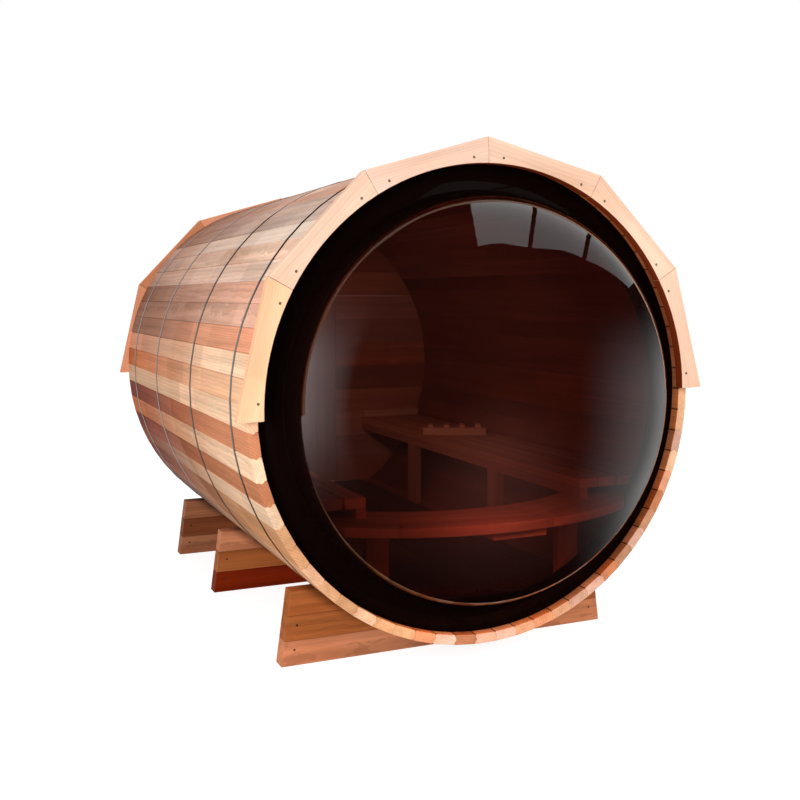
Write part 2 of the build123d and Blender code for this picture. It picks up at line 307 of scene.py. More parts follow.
def cedarMaterial(name, **changes):
    look = {**woodLook, **changes}
    n = Nodes(bpy.data.materials.new(name))
    grain = n.attribute("grain")
    # growth rings round a pith that lies beside each board
    rings = n.make("NodeTexWave", {"Vector": n.scaled(grain, (0.35, 1.0, 1.0)),
                                         "Scale": look["ringsPerMetre"] / 3.14, "Distortion": 5.0,
                                         "Detail": 3.0, "Detail Scale": 0.6, "Detail Roughness": 0.6},
                   wave_type="RINGS", rings_direction="X", wave_profile="SAW").outputs["Fac"]
    fibre = n.noise(n.scaled(grain, (9.0, 900.0, 900.0)), detail=2.0)
    streak = n.noise(n.scaled(grain, (0.9, 26.0, 26.0)), detail=5.0, roughness=0.62, distortion=0.4)
    cloud = n.noise(n.scaled(grain, (1.6, 5.0, 5.0)), detail=2.0)
    # short finger-jointed lengths, each a little lighter or darker
    cell = n.make("NodeTexVoronoi", {"W": n.parts(grain)[0], "Scale": 1 / look["pieceLength"]},
                  voronoi_dimensions="1D").outputs["Color"]
    factor = n.product(
        n.spread(n.parts(cell)[0], 0.0, 1.0, 1 - look["pieceDepth"], 1 + look["pieceDepth"] * 0.6),
        n.spread(streak, 0.3, 0.7, 1 - look["streakDepth"], 1 + look["streakDepth"] * 0.5),
        n.spread(rings, 0.0, 1.0, 1.04, 1 - look["ringDepth"]),
        n.spread(fibre, 0.3, 0.7, 0.95, 1.05))
    # painted shade: the wood darkens close to the barrel, where the barrel shades it
    if look["dirtReach"] > 0:
        offAxis = n.make("NodeVectorMath", {0: n.where(), 1: (0, 0, axisZ)}, operation="SUBTRACT")
        flat = n.scaled(offAxis.outputs[0], (1.0, 0.0, 1.0))
        out = n.make("NodeVectorMath", {0: flat}, operation="LENGTH").outputs["Value"]
        paintedShadeEnd = barrelRadius + look["dirtReach"]
        factor = n.product(factor, n.smooth(out, barrelRadius, paintedShadeEnd, look["paintedShadeTone"], 1.0))
    plain = n.tone(n.attribute("tint"), factor)
    # darker places turn redder
    red = n.scaled(plain, look["darkerRed"])
    n.join(n.blend(n.spread(cloud, 0.42, 0.72, 0.0, 0.55), plain, red), "Base Color")
    n.join(n.spread(streak, 0.2, 0.8, look["roughness"] + 0.1, look["roughness"] - 0.08), "Roughness")
    n.join(look["shine"], "Specular IOR Level")
    n.bump(n.maths("ADD", n.product(fibre, 0.5), n.product(rings, 0.35)), look["bump"], look["bumpHeight"])
    return n.owner


staveWood = cedarMaterial("StaveCedar", pieceDepth=0.15)
fasciaWood = cedarMaterial("FasciaCedar", pieceDepth=0.05, ringDepth=0.08, streakDepth=0.12)
# the cradles carry painted shade under the barrel
cradleWood = cedarMaterial("CradleCedar", streakDepth=0.3, dirtReach=0.05)
wallWood = cedarMaterial("WallCedar", pieceDepth=0.1)
benchWood = cedarMaterial("BenchCedar")
deckWood = cedarMaterial("DeckCedar")
ringWood = cedarMaterial("RingCedar")
paleAndLitWood = cedarMaterial("PaleAndLitWood", ringDepth=0.05, streakDepth=0.08)


def metalMaterial(name, colour, roughness, metallic):
    n = Nodes(bpy.data.materials.new(name))
    where = n.where()
    brushed = n.noise(n.scaled(where, (40.0, 900.0, 40.0)), detail=2.0)
    worn = n.noise(where, scale=9.0, detail=4.0)
    darker = (*(c * 0.7 for c in colour[:3]), 1.0)
    n.join(n.blend(n.spread(worn, 0.35, 0.7), colour, darker), "Base Color")
    n.join(n.spread(brushed, 0.2, 0.8, roughness - 0.08, roughness + 0.12), "Roughness")
    n.join(metallic, "Metallic")
    n.bump(brushed, 0.1, 0.0004)
    return n.owner


bandSteel = metalMaterial("BandSteel", screen(118, 112, 108), 0.34, 1.0)
screwSteel = metalMaterial("ScrewSteel", screen(70, 58, 50), 0.45, 1.0)
blackSteel = metalMaterial("BlackSteel", screen(34, 32, 31), 0.5, 0.6)

window = {
    "seen": (0.49, 0.33, 0.305), "shine": 0.5,
    # the flange and the bubble's foot, in a band this wide: nearly black to see through, as painted shade
    # of the rim behind them, and barely glossy
    "edgeShadedSeen": (0.1, 0.05, 0.05), "edgeShine": 0.03, "edgeWide": 0.026, "insideShine": 0.0,
    # the blown sheet is thicker, and so darker, towards its base
    "thickFrom": frontY - 0.09, "thickTo": frontY + 0.03, "thickTone": 0.35,
    "body": (0.004, 0.0015, 0.0012, 1.0), "roughness": 0.015, "smear": 0.012, "ior": 1.49,
    "segments": 192, "rows": 36, "filletSteps": 6,
}


# Bronze acrylic: what is behind shows through the tint, and the surface mirrors like glass
def acrylicMaterial(name, seen, shine):
    n = Nodes(bpy.data.materials.new(name))
    where = n.where()
    smear = n.noise(where, scale=2.4, detail=4.0, distortion=0.6)
    n.join(window["body"], "Base Color")
    n.join(window["ior"], "IOR")
    n.join(shine, "Specular IOR Level")
    dull = window["roughness"]
    n.join(n.spread(smear, 0.35, 0.8, dull, dull + window["smear"]), "Roughness")
    thick = n.smooth(n.parts(where)[1], window["thickFrom"], window["thickTo"], 1.0, window["thickTone"])
    clear = n.make("NodeBsdfTransparent", {"Color": n.tone(seen, thick)})
    n.surface(n.make("NodeAddShader", {0: n.shader.outputs[0], 1: clear.outputs[0]}))
    return n.owner


acrylics = [acrylicMaterial("TintedAcrylic", window["seen"], window["shine"]),
            acrylicMaterial("ShadedEdge", window["edgeShadedSeen"], window["edgeShine"]),
            acrylicMaterial("TintedInside", window["seen"], window["insideShine"])]
print("materials made")


# Camera, where the photograph was taken from

camera = {
    "back": 3.2659, "left": 1.8016, "height": 1.3906, "turn": 23.891, "down": 5.807, "lens": 45.52,
    "sensor": 36.0,
}


def makeCamera():
    data = bpy.data.cameras.new("Camera")
    data.lens = camera["lens"]
    data.sensor_width = camera["sensor"]
    made = bpy.data.objects.new("Camera", data)
    made.location = (-camera["left"], frontY - camera["back"], camera["height"])
    made.rotation_euler = (radians(90 - camera["down"]), 0, radians(-camera["turn"]))
    link(made)
    bpy.context.scene.camera = made


makeCamera()

# Floor, world and lamps

studio = {"floorSize": 40.0, "floorTone": 0.55, "floorGlow": 0.85, "floorShade": 0.4, "ambient": 0.5}


def makeFloor():
    size = studio["floorSize"]
    mesh = bpy.data.meshes.new("Floor")
    mesh.from_pydata([(x, y, 0) for x, y in rectangle(-size, -size, size, size)], [], [(0, 1, 2, 3)])
    floor = bpy.data.objects.new("Floor", mesh)
    n = Nodes(bpy.data.materials.new("FloorWhite"))
    plain, shaded = [n.make("NodeBsdfDiffuse", {"Color": (grey, grey, grey, 1)}).outputs[0]
                     for grey in (studio["floorTone"], studio["floorShade"])]
    glow = n.make("NodeEmission", {"Strength": studio["floorGlow"]}).outputs[0]
    white = n.make("NodeAddShader", {0: glow, 1: shaded}).outputs[0]
    n.surface(n.make("NodeMixShader", {0: n.seen(), 1: plain, 2: white}))
    n.owner.cycles.emission_sampling = "NONE"
    mesh.materials.append(n.owner)
    link(floor)


def makeWorld():
    n = Nodes(bpy.data.worlds.new("World"))
    bpy.context.scene.world = n.owner
    ambient = n.tree.nodes["Background"]
    white = n.make("NodeBackground")
    for node, strength in ((ambient, studio["ambient"]), (white, 1.0)):
        node.inputs["Color"].default_value = (1, 1, 1, 1)
        node.inputs["Strength"].default_value = strength
    n.surface(n.make("NodeMixShader", {0: n.seen(), 1: ambient.outputs[0], 2: white.outputs[0]}))


middle = (0, 0, axisZ)
lamps = {
    "KeyLamp": {"place": (-3.4, -3.7, 1.55), "aim": middle, "size": 2.2, "power": 138.0},
    "FillLamp": {"place": (2.8, -4.3, 2.3), "aim": middle, "size": 2.2, "power": 90.0},
    "TopLamp": {"place": (-0.8, 0.4, 5.0), "aim": middle, "size": 3.0, "power": 60.0},
    # in the room, on the front bench and on the rim's inner faces at the right
    "RoomLamp": {"place": (-0.45, -0.45, 1.35), "aim": (-0.3, 1.2, 1.1), "size": 0.24, "power": 8.0},
    "BenchLamp": {"place": (-0.2, -1.9, 1.1), "aim": (-0.05, -1.25, 0.6), "size": 0.3, "power": 3.4,
                  "spread": 50.0},
    "RimLamp": {"place": (0.36, -1.7, 0.95), "aim": (0.876, -1.07, 0.95), "size": 0.25, "power": 1.15,
                "tall": 1.3, "spread": 110.0},
}


# A lamp that only its light shows
def areaLamp(name, place, aim, size, power, tall=None, spread=180.0):
    data = bpy.data.lights.new(name, "AREA")
    data.shape = "ELLIPSE" if tall else "DISK"
    data.size, data.size_y = size, tall or size
    data.spread = radians(spread)
    data.energy = power
    made = bpy.data.objects.new(name, data)
    made.location = place
    made.rotation_euler = (Vector(aim) - Vector(place)).to_track_quat("-Z", "Y").to_euler()
    made.visible_camera = made.visible_glossy = made.visible_transmission = False
    link(made)


bubble = {
    "base": boreApothem - 0.1033, "sheet": 0.008, "shoulder": 0.270, "shoulderShare": 0.6,
    "fillet": 0.009, "recess": 0.038,
}


# The shoulder's centre out from the axis, the crown's radius and the angle where the two arcs touch
def bubbleArcs(depth):
    across = bubble["base"] - bubble["shoulder"]
    crown = (across**2 + depth**2 - bubble["shoulder"]**2) / (2 * (depth - bubble["shoulder"]))
    return across, crown, atan2(crown - depth, across)


# Dark cloth round the bubble, which only mirrors see, with a soft bright opening at each side and three
# bright panes overhead
cloth = {
    "centre": (0.0, frontY - 0.1, axisZ),
    "half": (1.7, 1.7, 0.985),
    "rows": 24,
    "segments": 48,
    # each opening's glow, the angles over which it begins and ends, and the heights over which it fades
    "right": {"glow": 1.3, "ramp": "SMOOTHSTEP", "from": (44, 80), "till": (78, 118),
              "top": (-0.05, 0.6), "foot": (-0.95, -0.6)},
    "left": {"glow": 2.1, "ramp": "LINEAR", "from": (48, 98), "till": (100, 150),
             "top": (0.35, 0.85), "foot": (-0.8, 0.0)},
    "behind": 0.18,
    # each pane's corners as the picture shows it in the bubble, and how far it bows up, in pixels
    "panes": (
        ((465, 191), (531.5, 198), (526.5, 244), (476.5, 245.5)),
        ((536, 199), (587, 222), (581, 256.5), (531, 244.5)),
        ((591, 226), (640, 274), (628, 287), (585, 259)),
    ),
    "bow": 3.0,
    "paneGlow": (1.6, 1.3, 0.95),
    "paneSteps": 5,
    "paneIn": 0.97,
}

# Lines of sight: the picture's size and how far a missed point may slide, in pixels, and how far off
# the bubble is looked for
sight = {"picture": 800, "slide": 9, "near": 2.0, "far": 6.0, "met": 1e-4}


# A pixel of the picture as a line of sight from the camera
def sightLine(px, py):
    eye = bpy.context.scene.camera
    half = sight["picture"] / 2
    focal = eye.data.lens / eye.data.sensor_width * sight["picture"]
    way = eye.rotation_euler.to_matrix() @ Vector(((px - half) / focal, (half - py) / focal, -1))
    return eye.location.copy(), way.normalized()


# Where the line of sight meets the bubble and, mirrored there, the cloth; None where it misses
def mirroredAt(px, py):
    start, way = sightLine(px, py)
    depth = flangeLow.y - domeLow.y
    across, crown, turn = bubbleArcs(depth)
    travelled = sight["near"]
    while travelled < sight["far"]:
        point = start + way * travelled
        flat = Vector((point.x, 0, point.z - axisZ))
        ahead = flangeLow.y - point.y
        if atan2(ahead - depth + crown, flat.length) < turn:
            heart, radius = flat.normalized() * across + Vector((0, flangeLow.y, axisZ)), bubble["shoulder"]
        else:
            heart, radius = Vector((0, flangeLow.y - depth + crown, axisZ)), crown
        clear = (point - heart).length - radius
        if clear < sight["met"]:
            break
        travelled += clear
    if travelled >= sight["far"] or ahead < 0:
        return None
    face = (point - heart).normalized()
    way = way - 2 * way.dot(face) * face
    half = Vector(cloth["half"])
    here = Vector([(p - c) / h for p, c, h in zip(point, cloth["centre"], half)])
    step = Vector([w / h for w, h in zip(way, half)])
    a, b, c = step.dot(step), here.dot(step), here.dot(here) - 1
    return here + step * ((sqrt(b * b - a * c) - b) / a)


# A pane's surface on the cloth, row by row, from its corners in the picture
def panePoints(corners, steps):
    a, b, c, d = [Vector(corner) for corner in corners]
    points = []
    for row in range(steps + 1):
        for column in range(steps + 1):
            share = column / steps
            top, foot = a.lerp(b, share), d.lerp(c, share)
            bow = cloth["bow"] * 4 * share * (1 - share)
            lift = Vector((b.y - a.y, a.x - b.x)).normalized() * bow
            spot = top.lerp(foot, row / steps) + lift
            found = mirroredAt(*spot)
            while found is None and spot.y < foot.y + sight["slide"]:
                spot += (foot - top).normalized()
                found = mirroredAt(*spot)
            points.append(found * cloth["paneIn"])
    return points


def glowMaterial(name, strength):
    n = Nodes(bpy.data.materials.new(name))
    glow = strength(n) if callable(strength) else strength
    n.surface(n.make("NodeEmission", {"Color": (1, 1, 1, 1), "Strength": glow}))
    n.owner.cycles.emission_sampling = "NONE"
    return n.owner


# How bright the cloth is all round, by the angle aside from straight ahead and the height
def clothGlow(n):
    x, y, z = n.parts(n.where())
    aside = n.product(n.maths("ARCTAN2", x, n.product(y, -1.0)), 180 / pi)
    sides = []
    for side, facing in (("right", aside), ("left", n.product(aside, -1.0))):
        opening = cloth[side]
        ramp = n.product(n.spread(facing, *opening["from"], ramp=opening["ramp"]),
                         n.smooth(facing, *opening["till"], 1.0, cloth["behind"]))
        fade = n.product(n.smooth(z, *opening["top"], 1.0, 0.0), n.smooth(z, *opening["foot"]))
        sides.append(n.product(n.product(ramp, opening["glow"]), fade))
    return n.maths("ADD", *sides)


# The cloth with its three panes, which lie just inside it
def makeCloth():
    made = bmesh.new()
    bmesh.ops.create_uvsphere(made, u_segments=cloth["segments"], v_segments=cloth["rows"], radius=1.0)
    steps = cloth["paneSteps"]
    wide = steps + 1
    for number, corners in enumerate(cloth["panes"], 1):
        verts = [made.verts.new(point) for point in panePoints(corners, steps)]
        for row in range(steps):
            for column in range(steps):
                first = row * wide + column
                face = made.faces.new([verts[first + k] for k in (0, 1, wide + 1, wide)])
                face.material_index = number
    piece = objectFrom(made, "DarkCloth", smooth=True)
    piece.data.materials.append(glowMaterial("DarkClothLook", clothGlow))
    for number, glow in enumerate(cloth["paneGlow"], 1):
        piece.data.materials.append(glowMaterial(f"BrightPane{number}", glow))
    piece.location = cloth["centre"]
    piece.scale = cloth["half"]
    piece.visible_camera = piece.visible_diffuse = piece.visible_transmission = piece.visible_shadow = False
    link(piece)


makeFloor()
makeWorld()
makeCloth()
for name, lamp in lamps.items():
    areaLamp(name, **lamp)
bpy.context.scene.view_settings.view_transform = "Standard"
print("stage set")


# Staves: each its own board, bead on one edge and cove on the other

stave = {
    "seed": 11, "gap": 0.0003, "groove": (0.0012, 0.0034), "uneven": 0.0005,
    # the bead, and where it starts and how tall it is as shares of the board's thickness
    "bead": 0.0065, "beadStart": 0.22, "beadTall": 0.56, "beadSteps": 6, "lengths": 14, "endEase": 0.001,
    # the faces inside the room are painted darker: painted shade of the closed room behind the tinted
    # window
    "endTone": 0.95, "paintedRoomShade": Vector((0.42, 0.26, 0.19)),
    # the faces inside the rim, in front of the window, and the dark joints there
    "rimDepth": 0.036, "rimTone": Vector((1.0, 0.55, 0.3)), "rimEnd": 0.002, "jointTone": 0.12,
    "jointWidth": 0.0022, "spareTones": ("tan", "rose", "clay", "copper", "honey", "brown"),
}

# Tones of the staves that show most, front and rear, by the number of the first in each row. The rear tones
# are partly the staves' own and partly painted shade, where the light falls off towards the rear and under
# the barrel; the top rows' paler, greyer tones are partly a painted sheen
staveRows = {
    0: "rose clay, rose tan, clay tan, clay rose, rose clay",
    13: "blush rose, rose clay, blush fawn, rose fawn, rose acorn, rose acorn, clay acorn, blush acorn",
    21: "rose acorn, ash acorn, ash acorn, shell fawn, bisque fawn, blush fawn, rose acorn, rose acorn",
    29: "salmon acorn, cream salmon, peach ember, cream peach, copper mahogany, cream ember, "
        "copper mahogany, cream chestnut",
    37: "honey mahogany, honey chestnut, peach bark, honey bark, honey bark, peach chestnut, "
        "honey peach, honey peach",
    45: "copper cream, rose cream, brown tan, clay tan, rose clay, tan honey, copper tan, tan tan",
    53: "rose tan, rose clay, copper brown, tan brown, rose tan, tan brown, copper brown, salmon copper",
    61: "peach copper, rose clay, peach tan, peach rose",
}
staveTones = {first + k: tones.split() for first, row in staveRows.items()
              for k, tones in enumerate(row.split(", "))}


# One stave's section: x is along the ring and y is out from the axis
def staveProfile(uneven, grooves):
    top = staveApothem - uneven
    outer = top * tan(halfStep) - stave["gap"] / 2
    inner = boreApothem * tan(halfStep) - stave["gap"] / 2
    edges = []
    for side, groove in zip((-1, 1), grooves):
        edge = [(side * (outer - groove), top), (side * (outer - stave["gap"]), top - groove)]
        for share in evenly(0, 1, stave["beadSteps"]):
            height = top - barrel["thickness"] * (stave["beadStart"] + stave["beadTall"] * share)
            wide = inner + (outer - inner) * (height - boreApothem) / barrel["thickness"]
            edge.append((side * wide + stave["bead"] * sin(pi * share), height))
        # three points on the room's face, so that its tone can change close to the joint
        edge += [(side * (inner - stave["jointWidth"] * k), boreApothem) for k in (0, 1, 1.3)]
        edges.append(edge)
    return edges[1] + edges[0][::-1]


def addStave(made, number):
    draw = random.Random(stave["seed"] * 1000 + number)
    uneven = draw.uniform(0, stave["uneven"])
    profile = staveProfile(uneven, (draw.uniform(*stave["groove"]), draw.uniform(*stave["groove"])))
    spare = [draw.choice(stave["spareTones"]) for _ in range(2)]
    front, rear = [cedar[name] for name in staveTones.get(number, spare)]
    angle = radians(barrel["firstJoint"] + (number + 0.5) * staveStep)
    stations = [0, stave["endEase"], stave["rimDepth"], stave["rimDepth"] + stave["rimEnd"]]
    stations += evenly(0, barrelLength, stave["lengths"])[1:-1]
    stations += [barrelLength - stave["endEase"], barrelLength]
    rows, count = len(stations), len(profile)
    offset = made.offset()
    middleY = (staveApothem + boreApothem) / 2
    dark = boreApothem * tan(halfStep) - stave["jointWidth"] * 1.2
    points, grain, tint = [], [], []
    for row, station in enumerate(stations):
        rim = station <= stave["rimDepth"]
        shrink = stave["endEase"] if row in (0, rows - 1) else 0.0
        share = station / barrelLength
        # front tone to rear tone, whose darkening is partly painted shade
        colour = front.lerp(rear, share * share * (3 - 2 * share))
        for x, y in profile:
            shade = Vector((1, 1, 1))
            if y < boreApothem + 0.002:
                # inside the room, painted shade; in the rim, the rim's redder tone
                shade = stave["rimTone"] if rim else stave["paintedRoomShade"]
                if rim and abs(x) > dark:
                    shade = shade * stave["jointTone"]
            x -= shrink * (1 if x > 0 else -1)
            y -= shrink * (1 if y > middleY else -1)
            points.append(Vector((x * -sin(angle) + y * cos(angle), frontY + station,
                                  axisZ + x * cos(angle) + y * sin(angle))))
            grain.append(Vector((station, x, y - middleY)) + offset)
            tint.append(colour * shade)
    faces = []
    for start in range(0, (rows - 1) * count, count):
        for index in range(count):
            after = (index + 1) % count
            faces.append([start + index, start + after, start + count + after, start + count + index])
    # the ends are end grain, with points of their own
    for row, tone in ((0, front * stave["endTone"]), (rows - 1, rear)):
        ring = list(range(len(points), len(points) + count))
        own = slice(row * count, (row + 1) * count)
        points += points[own]
        grain += grain[own]
        tint += [tone] * count
        faces.append(ring[::-1] if row == 0 else ring)
    made.add(points, faces, grain, tint)


def makeStaves(panel):
    made = Timber(f"Staves{panel:02d}")
    for place in range(barrel["stavesPerPanel"]):
        addStave(made, (panel - 1) * barrel["stavesPerPanel"] + place)
    made.piece(staveWood, "cedar_staves", f"stave_panel_{panel:02d}")


for panel in range(1, barrel["staves"] // barrel["stavesPerPanel"] + 1):
    makeStaves(panel)
print("staves made")


# Steel bands

band = {
    "thickness": 0.0015, "edge": 0.0004, "gap": 0.024, "lug": 0.003, "lugHeight": 0.026,
    "boltRadius": 0.004, "boltLength": 0.052, "nutRadius": 0.0075, "nutLength": 0.0065, "nutEase": 0.001,
}


def prism(made, rings):
    rows = [[made.verts.new(point) for point in ring] for ring in rings]
    for one, two in zip(rows, rows[1:]):
        for k in range(len(one)):
            after = (k + 1) % len(one)
            made.faces.new((one[k], two[k], two[after], one[after]))
    made.faces.new(rows[0])
    made.faces.new(rows[-1][::-1])


# A strap bent over the staves' corners, split underneath, with two lugs and a bolt
def makeBand(number):
    low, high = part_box(f"band_{number}")
    y0, y1 = low.y, high.y
    outer = (staveApothem + band["thickness"]) / cos(halfStep)
    edge = band["edge"]
    half = band["gap"] / 2
    made = bmesh.new()
    # from the split, over every joint between staves, and back to the split
    split = degrees(asin(half / outer))
    first = int((270 + split - barrel["firstJoint"]) // staveStep) + 1
    joints = [barrel["firstJoint"] + (first + k) * staveStep for k in range(barrel["staves"])]
    rings = []
    for angle in [270 + split] + [a for a in joints if a < 630 - split] + [630 - split]:
        # distance out to the flat face at this angle
        off = (angle - barrel["firstJoint"]) % staveStep - staveStep / 2
        reach = cos(halfStep) / cos(radians(off))
        inside = barrelRadius * reach
        outside = outer * reach
        rows = [(inside, y0), (outside - edge, y0), (outside, y0 + edge),
                (outside, y1 - edge), (outside - edge, y1), (inside, y1)]
        rings.append([(r * cos(radians(angle)), y, axisZ + r * sin(radians(angle))) for r, y in rows])
    prism(made, rings)
    top = axisZ - staveApothem
    foot = top - band["lugHeight"]
    for side in (-1, 1):
        sides = (side * half, side * (half + band["lug"]))
        prism(made, [[(x, y0 + edge, foot), (x, y1 - edge, foot), (x, y1, foot + edge), (x, y1, top),
                      (x, y0, top), (x, y0, foot + edge)] for x in sides])
    height = top - band["lugHeight"] / 2

    def hexagon(x, radius):
        return [(x, (y0 + y1) / 2 + radius * cos(radians(60 * k)), height + radius * sin(radians(60 * k)))
                for k in range(6)]

    reach, nut = band["boltLength"] / 2, band["nutRadius"]
    prism(made, [hexagon(-reach, band["boltRadius"]), hexagon(reach, band["boltRadius"])])
    for side in (-1, 1):
        near = side * (half + band["lug"])
        far = near + side * band["nutLength"]
        prism(made, [hexagon(near, nut), hexagon(far - side * band["nutEase"], nut),
                     hexagon(far, nut - band["nutEase"])])
    bmesh.ops.recalc_face_normals(made, faces=made.faces)
    dress(objectFrom(made, f"Band{number}"), [bandSteel], "band_steel", f"band_{number}")


for number in range(1, 5):
    makeBand(number)
print("bands made")


# Fascia: mitred boards over both ends

fascia = {
    "boards": 6, "span": 30.0, "turn": 1.6, "outer": barrelRadius + 0.0426, "inner": boreApothem - 0.012,
    "seam": 0.0014, "arcSteps": 10, "bevel": 0.0018,
    # the sawn round edge is end grain, darker and redder
    "edge": "wine", "edgeDepth": 0.0009, "screwCircle": 0.8845, "screwAlong": 0.06,
    "front": ("bisque", "bisque", "bisque", "blush", "bisque", "peach"),
    "rear": ("peach", "peach", "salmon", "salmon", "copper", "salmon"),
}
# radius and height of a screw head's rings, from its rim to the hollow in its middle
screw = {"rings": ((0.0048, 0.00005), (0.004, 0.0006), (0.00216, 0.00018)), "hollow": -0.0002, "sides": 12}


# Small round screw heads on a face
def makeScrews(name, places):
    made = bmesh.new()
    sides = screw["sides"]
    angles = [2 * pi * k / sides for k in range(sides)]
    for place in places:
        rings = [[made.verts.new(place @ Vector((radius * cos(angle), radius * sin(angle), height)))
                  for angle in angles] for radius, height in screw["rings"]]
        heart = made.verts.new(place @ Vector((0, 0, screw["hollow"])))
        for k in range(sides):
            after = (k + 1) % sides
            for one, two in zip(rings, rings[1:]):
                made.faces.new((one[k], one[after], two[after], two[k]))
            made.faces.new((rings[-1][k], rings[-1][after], heart))
    dress(objectFrom(made, name), [screwSteel], "band_steel")


def makeFascia(end, number):
    node = f"{end}_fascia_{number}"
    low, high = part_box(node)
    made = Timber(f"{end.capitalize()}Fascia{number}")
    start = fascia["turn"] + (number - 1) * fascia["span"]
    finish = start + fascia["span"]
    seam = degrees(fascia["seam"] / 2 / fascia["outer"])
    outline = [ringPoint(fascia["outer"], start + seam), ringPoint(fascia["outer"], finish - seam)]
    outline += [ringPoint(fascia["inner"], angle)
                for angle in evenly(finish - seam, 2 * seam - fascia["span"], fascia["arcSteps"])]
    angle = radians(start + fascia["span"] / 2 - 90)
    made.turnedBoard(outline, acrossAt(low.y), angle, high.y - low.y, fascia[end][number - 1],
                     edge=fascia["bevel"])
    for index, point in enumerate(made.points):
        if Vector((point.x, point.z - axisZ)).length < fascia["inner"] + fascia["edgeDepth"]:
            made.tint[index] = cedar[fascia["edge"]]
    made.piece(fasciaWood, "cedar_fascia", node)


def fasciaScrews(end):
    low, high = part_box(f"{end}_fascia_1")
    y, out = (low.y, -1) if end == "front" else (high.y, 1)
    aside = degrees(fascia["screwAlong"] / fascia["screwCircle"])
    places = []
    for number in range(fascia["boards"]):
        start = fascia["turn"] + number * fascia["span"]
        for angle in (start + aside, start + fascia["span"] - aside):
            x, z = ringPoint(fascia["screwCircle"], angle)
            places.append(uprightAt(x, y, axisZ + z, out))
    makeScrews(end.capitalize() + "Screws", places)


for end in ("front", "rear"):
    for number in range(1, fascia["boards"] + 1):
        makeFascia(end, number)
    fasciaScrews(end)
print("fascia made")


# Cradles: three stacked boards each, with slanted ends

cradle = {
    "courses": 3, "seam": 0.0012, "footHalf": 0.715, "topHalf": 0.674, "arcSteps": 14,
    "screws": ((0.652, 0.156), (0.663, 0.062)),
    # tones from the foot up
    "front": ("copper", "toffee", "toffee"), "middle": ("mahogany", "toffee", "copper"),
    "rear": ("brown", "umber", "brown"),
}


def makeCradle(place):
    node = f"cradle_{place}"
    low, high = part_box(node)
    made = Timber("Cradle" + place.capitalize())
    tall = (high.z - low.z) / cradle["courses"]
    slope = (cradle["topHalf"] - cradle["footHalf"]) / (high.z - low.z)
    for course, tint in enumerate(cradle[place]):
        z0 = course * tall + cradle["seam"] / 2
        z1 = (course + 1) * tall - cradle["seam"] / 2
        x0, x1 = [cradle["footHalf"] + slope * z for z in (z0, z1)]
        top, bottom = [halfAt(barrelRadius, axisZ - z) for z in (z1, z0)]
        # a board that the barrel cuts right through comes in two
        span = bottom - top if bottom > 0 else -2 * top
        arc = [(x, axisZ - halfAt(barrelRadius, x)) for x in evenly(top, span, cradle["arcSteps"])]
        if bottom > 0:
            outlines = [[(side * x, z) for x, z in [(x0, z0), (x1, z1)] + arc] for side in (-1, 1)]
        else:
            outlines = [[(-x0, z0), (x0, z0), (x1, z1)] + arc + [(-x1, z1)]]
        for outline in outlines:
            made.board(outline, acrossAt(low.y, 0), high.y - low.y, "x", tint)
    made.piece(cradleWood, "cedar_cradles", node)


def cradleScrews():
    places = []
    for place in ("front", "middle", "rear"):
        low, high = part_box(f"cradle_{place}")
        for y, out in ((low.y, -1), (high.y, 1)):
            for side in (-1, 1):
                places += [uprightAt(side * x, y, z, out) for x, z in cradle["screws"]]
    makeScrews("CradleScrews", places)


for place in ("front", "middle", "rear"):
    makeCradle(place)
cradleScrews()
print("cradles made")


# Bubble window: flange and bubble in one sheet of tinted acrylic

# Radius and reach from the base circle to the foremost point: a shoulder arc, then a flatter crown arc
def bubbleSection(depth, inset, steps):
    across, crown, turn = bubbleArcs(depth)
    first = int(steps * bubble["shoulderShare"])
    shoulder, flatter = bubble["shoulder"] - inset, crown - inset
    points = [(across + shoulder * cos(angle), shoulder * sin(angle))
              for angle in evenly(0, turn, first)[:-1]]
    points += [(flatter * cos(angle), depth - crown + flatter * sin(angle))
               for angle in evenly(turn, pi / 2 - turn, steps - first)[:-1]]
    return points + [(0.0, depth - inset)]


# A mesh turned round the barrel's axis from points given as radius and y
def turned(name, section, segments):
    made = bmesh.new()
    rings = []
    for radius, y in section:
        angles = [2 * pi * k / segments for k in range(segments if radius > 0 else 1)]
        rings.append([made.verts.new((radius * cos(angle), y, axisZ + radius * sin(angle)))
                      for angle in angles])
    for one, two in zip(rings, rings[1:]):
        for k in range(segments):
            after = (k + 1) % segments
            corners = [ring[index % len(ring)] for ring, index in
                       ((one, k), (two, k), (two, after), (one, after))]
            made.faces.new(list(dict.fromkeys(corners)))
    bmesh.ops.recalc_face_normals(made, faces=made.faces)
    return objectFrom(made, name, smooth=True)


def makeWindow():
    sheet, fillet = bubble["sheet"], bubble["fillet"]
    flangeFront = domeHigh.y - sheet
    depth = flangeFront - domeLow.y
    section = [(r, flangeFront - reach) for r, reach in bubbleSection(depth, 0, window["rows"])
               if reach > fillet * 1.2][::-1]
    # a small hollow curve where the bubble rises from its flange
    section += [(bubble["base"] + fillet * (1 - cos(angle)), flangeFront - fillet * (1 - sin(angle)))
                for angle in evenly(0, pi / 2, window["filletSteps"])]
    rim = boreApothem - barrel["flangeClear"]
    section += [(rim, flangeFront), (rim, domeHigh.y), (bubble["base"] - sheet, domeHigh.y)]
    section += [(r, flangeFront - reach) for r, reach in bubbleSection(depth, sheet, window["rows"])]
    made = turned("BubbleWindow", section, window["segments"])
    heart = Vector((0, domeHigh.y, axisZ))
    for face in made.data.polygons:
        out = sqrt(face.center.x**2 + (face.center.z - axisZ) ** 2)
        # the band by the base gets the nearly black sheet: painted shade
        if out > bubble["base"] - window["edgeWide"]:
            face.material_index = 1
        elif face.normal.dot(face.center - heart) < 0:
            face.material_index = 2
    dress(made, acrylics, "tinted_acrylic", "dome_window", "window_flange")


makeWindow()

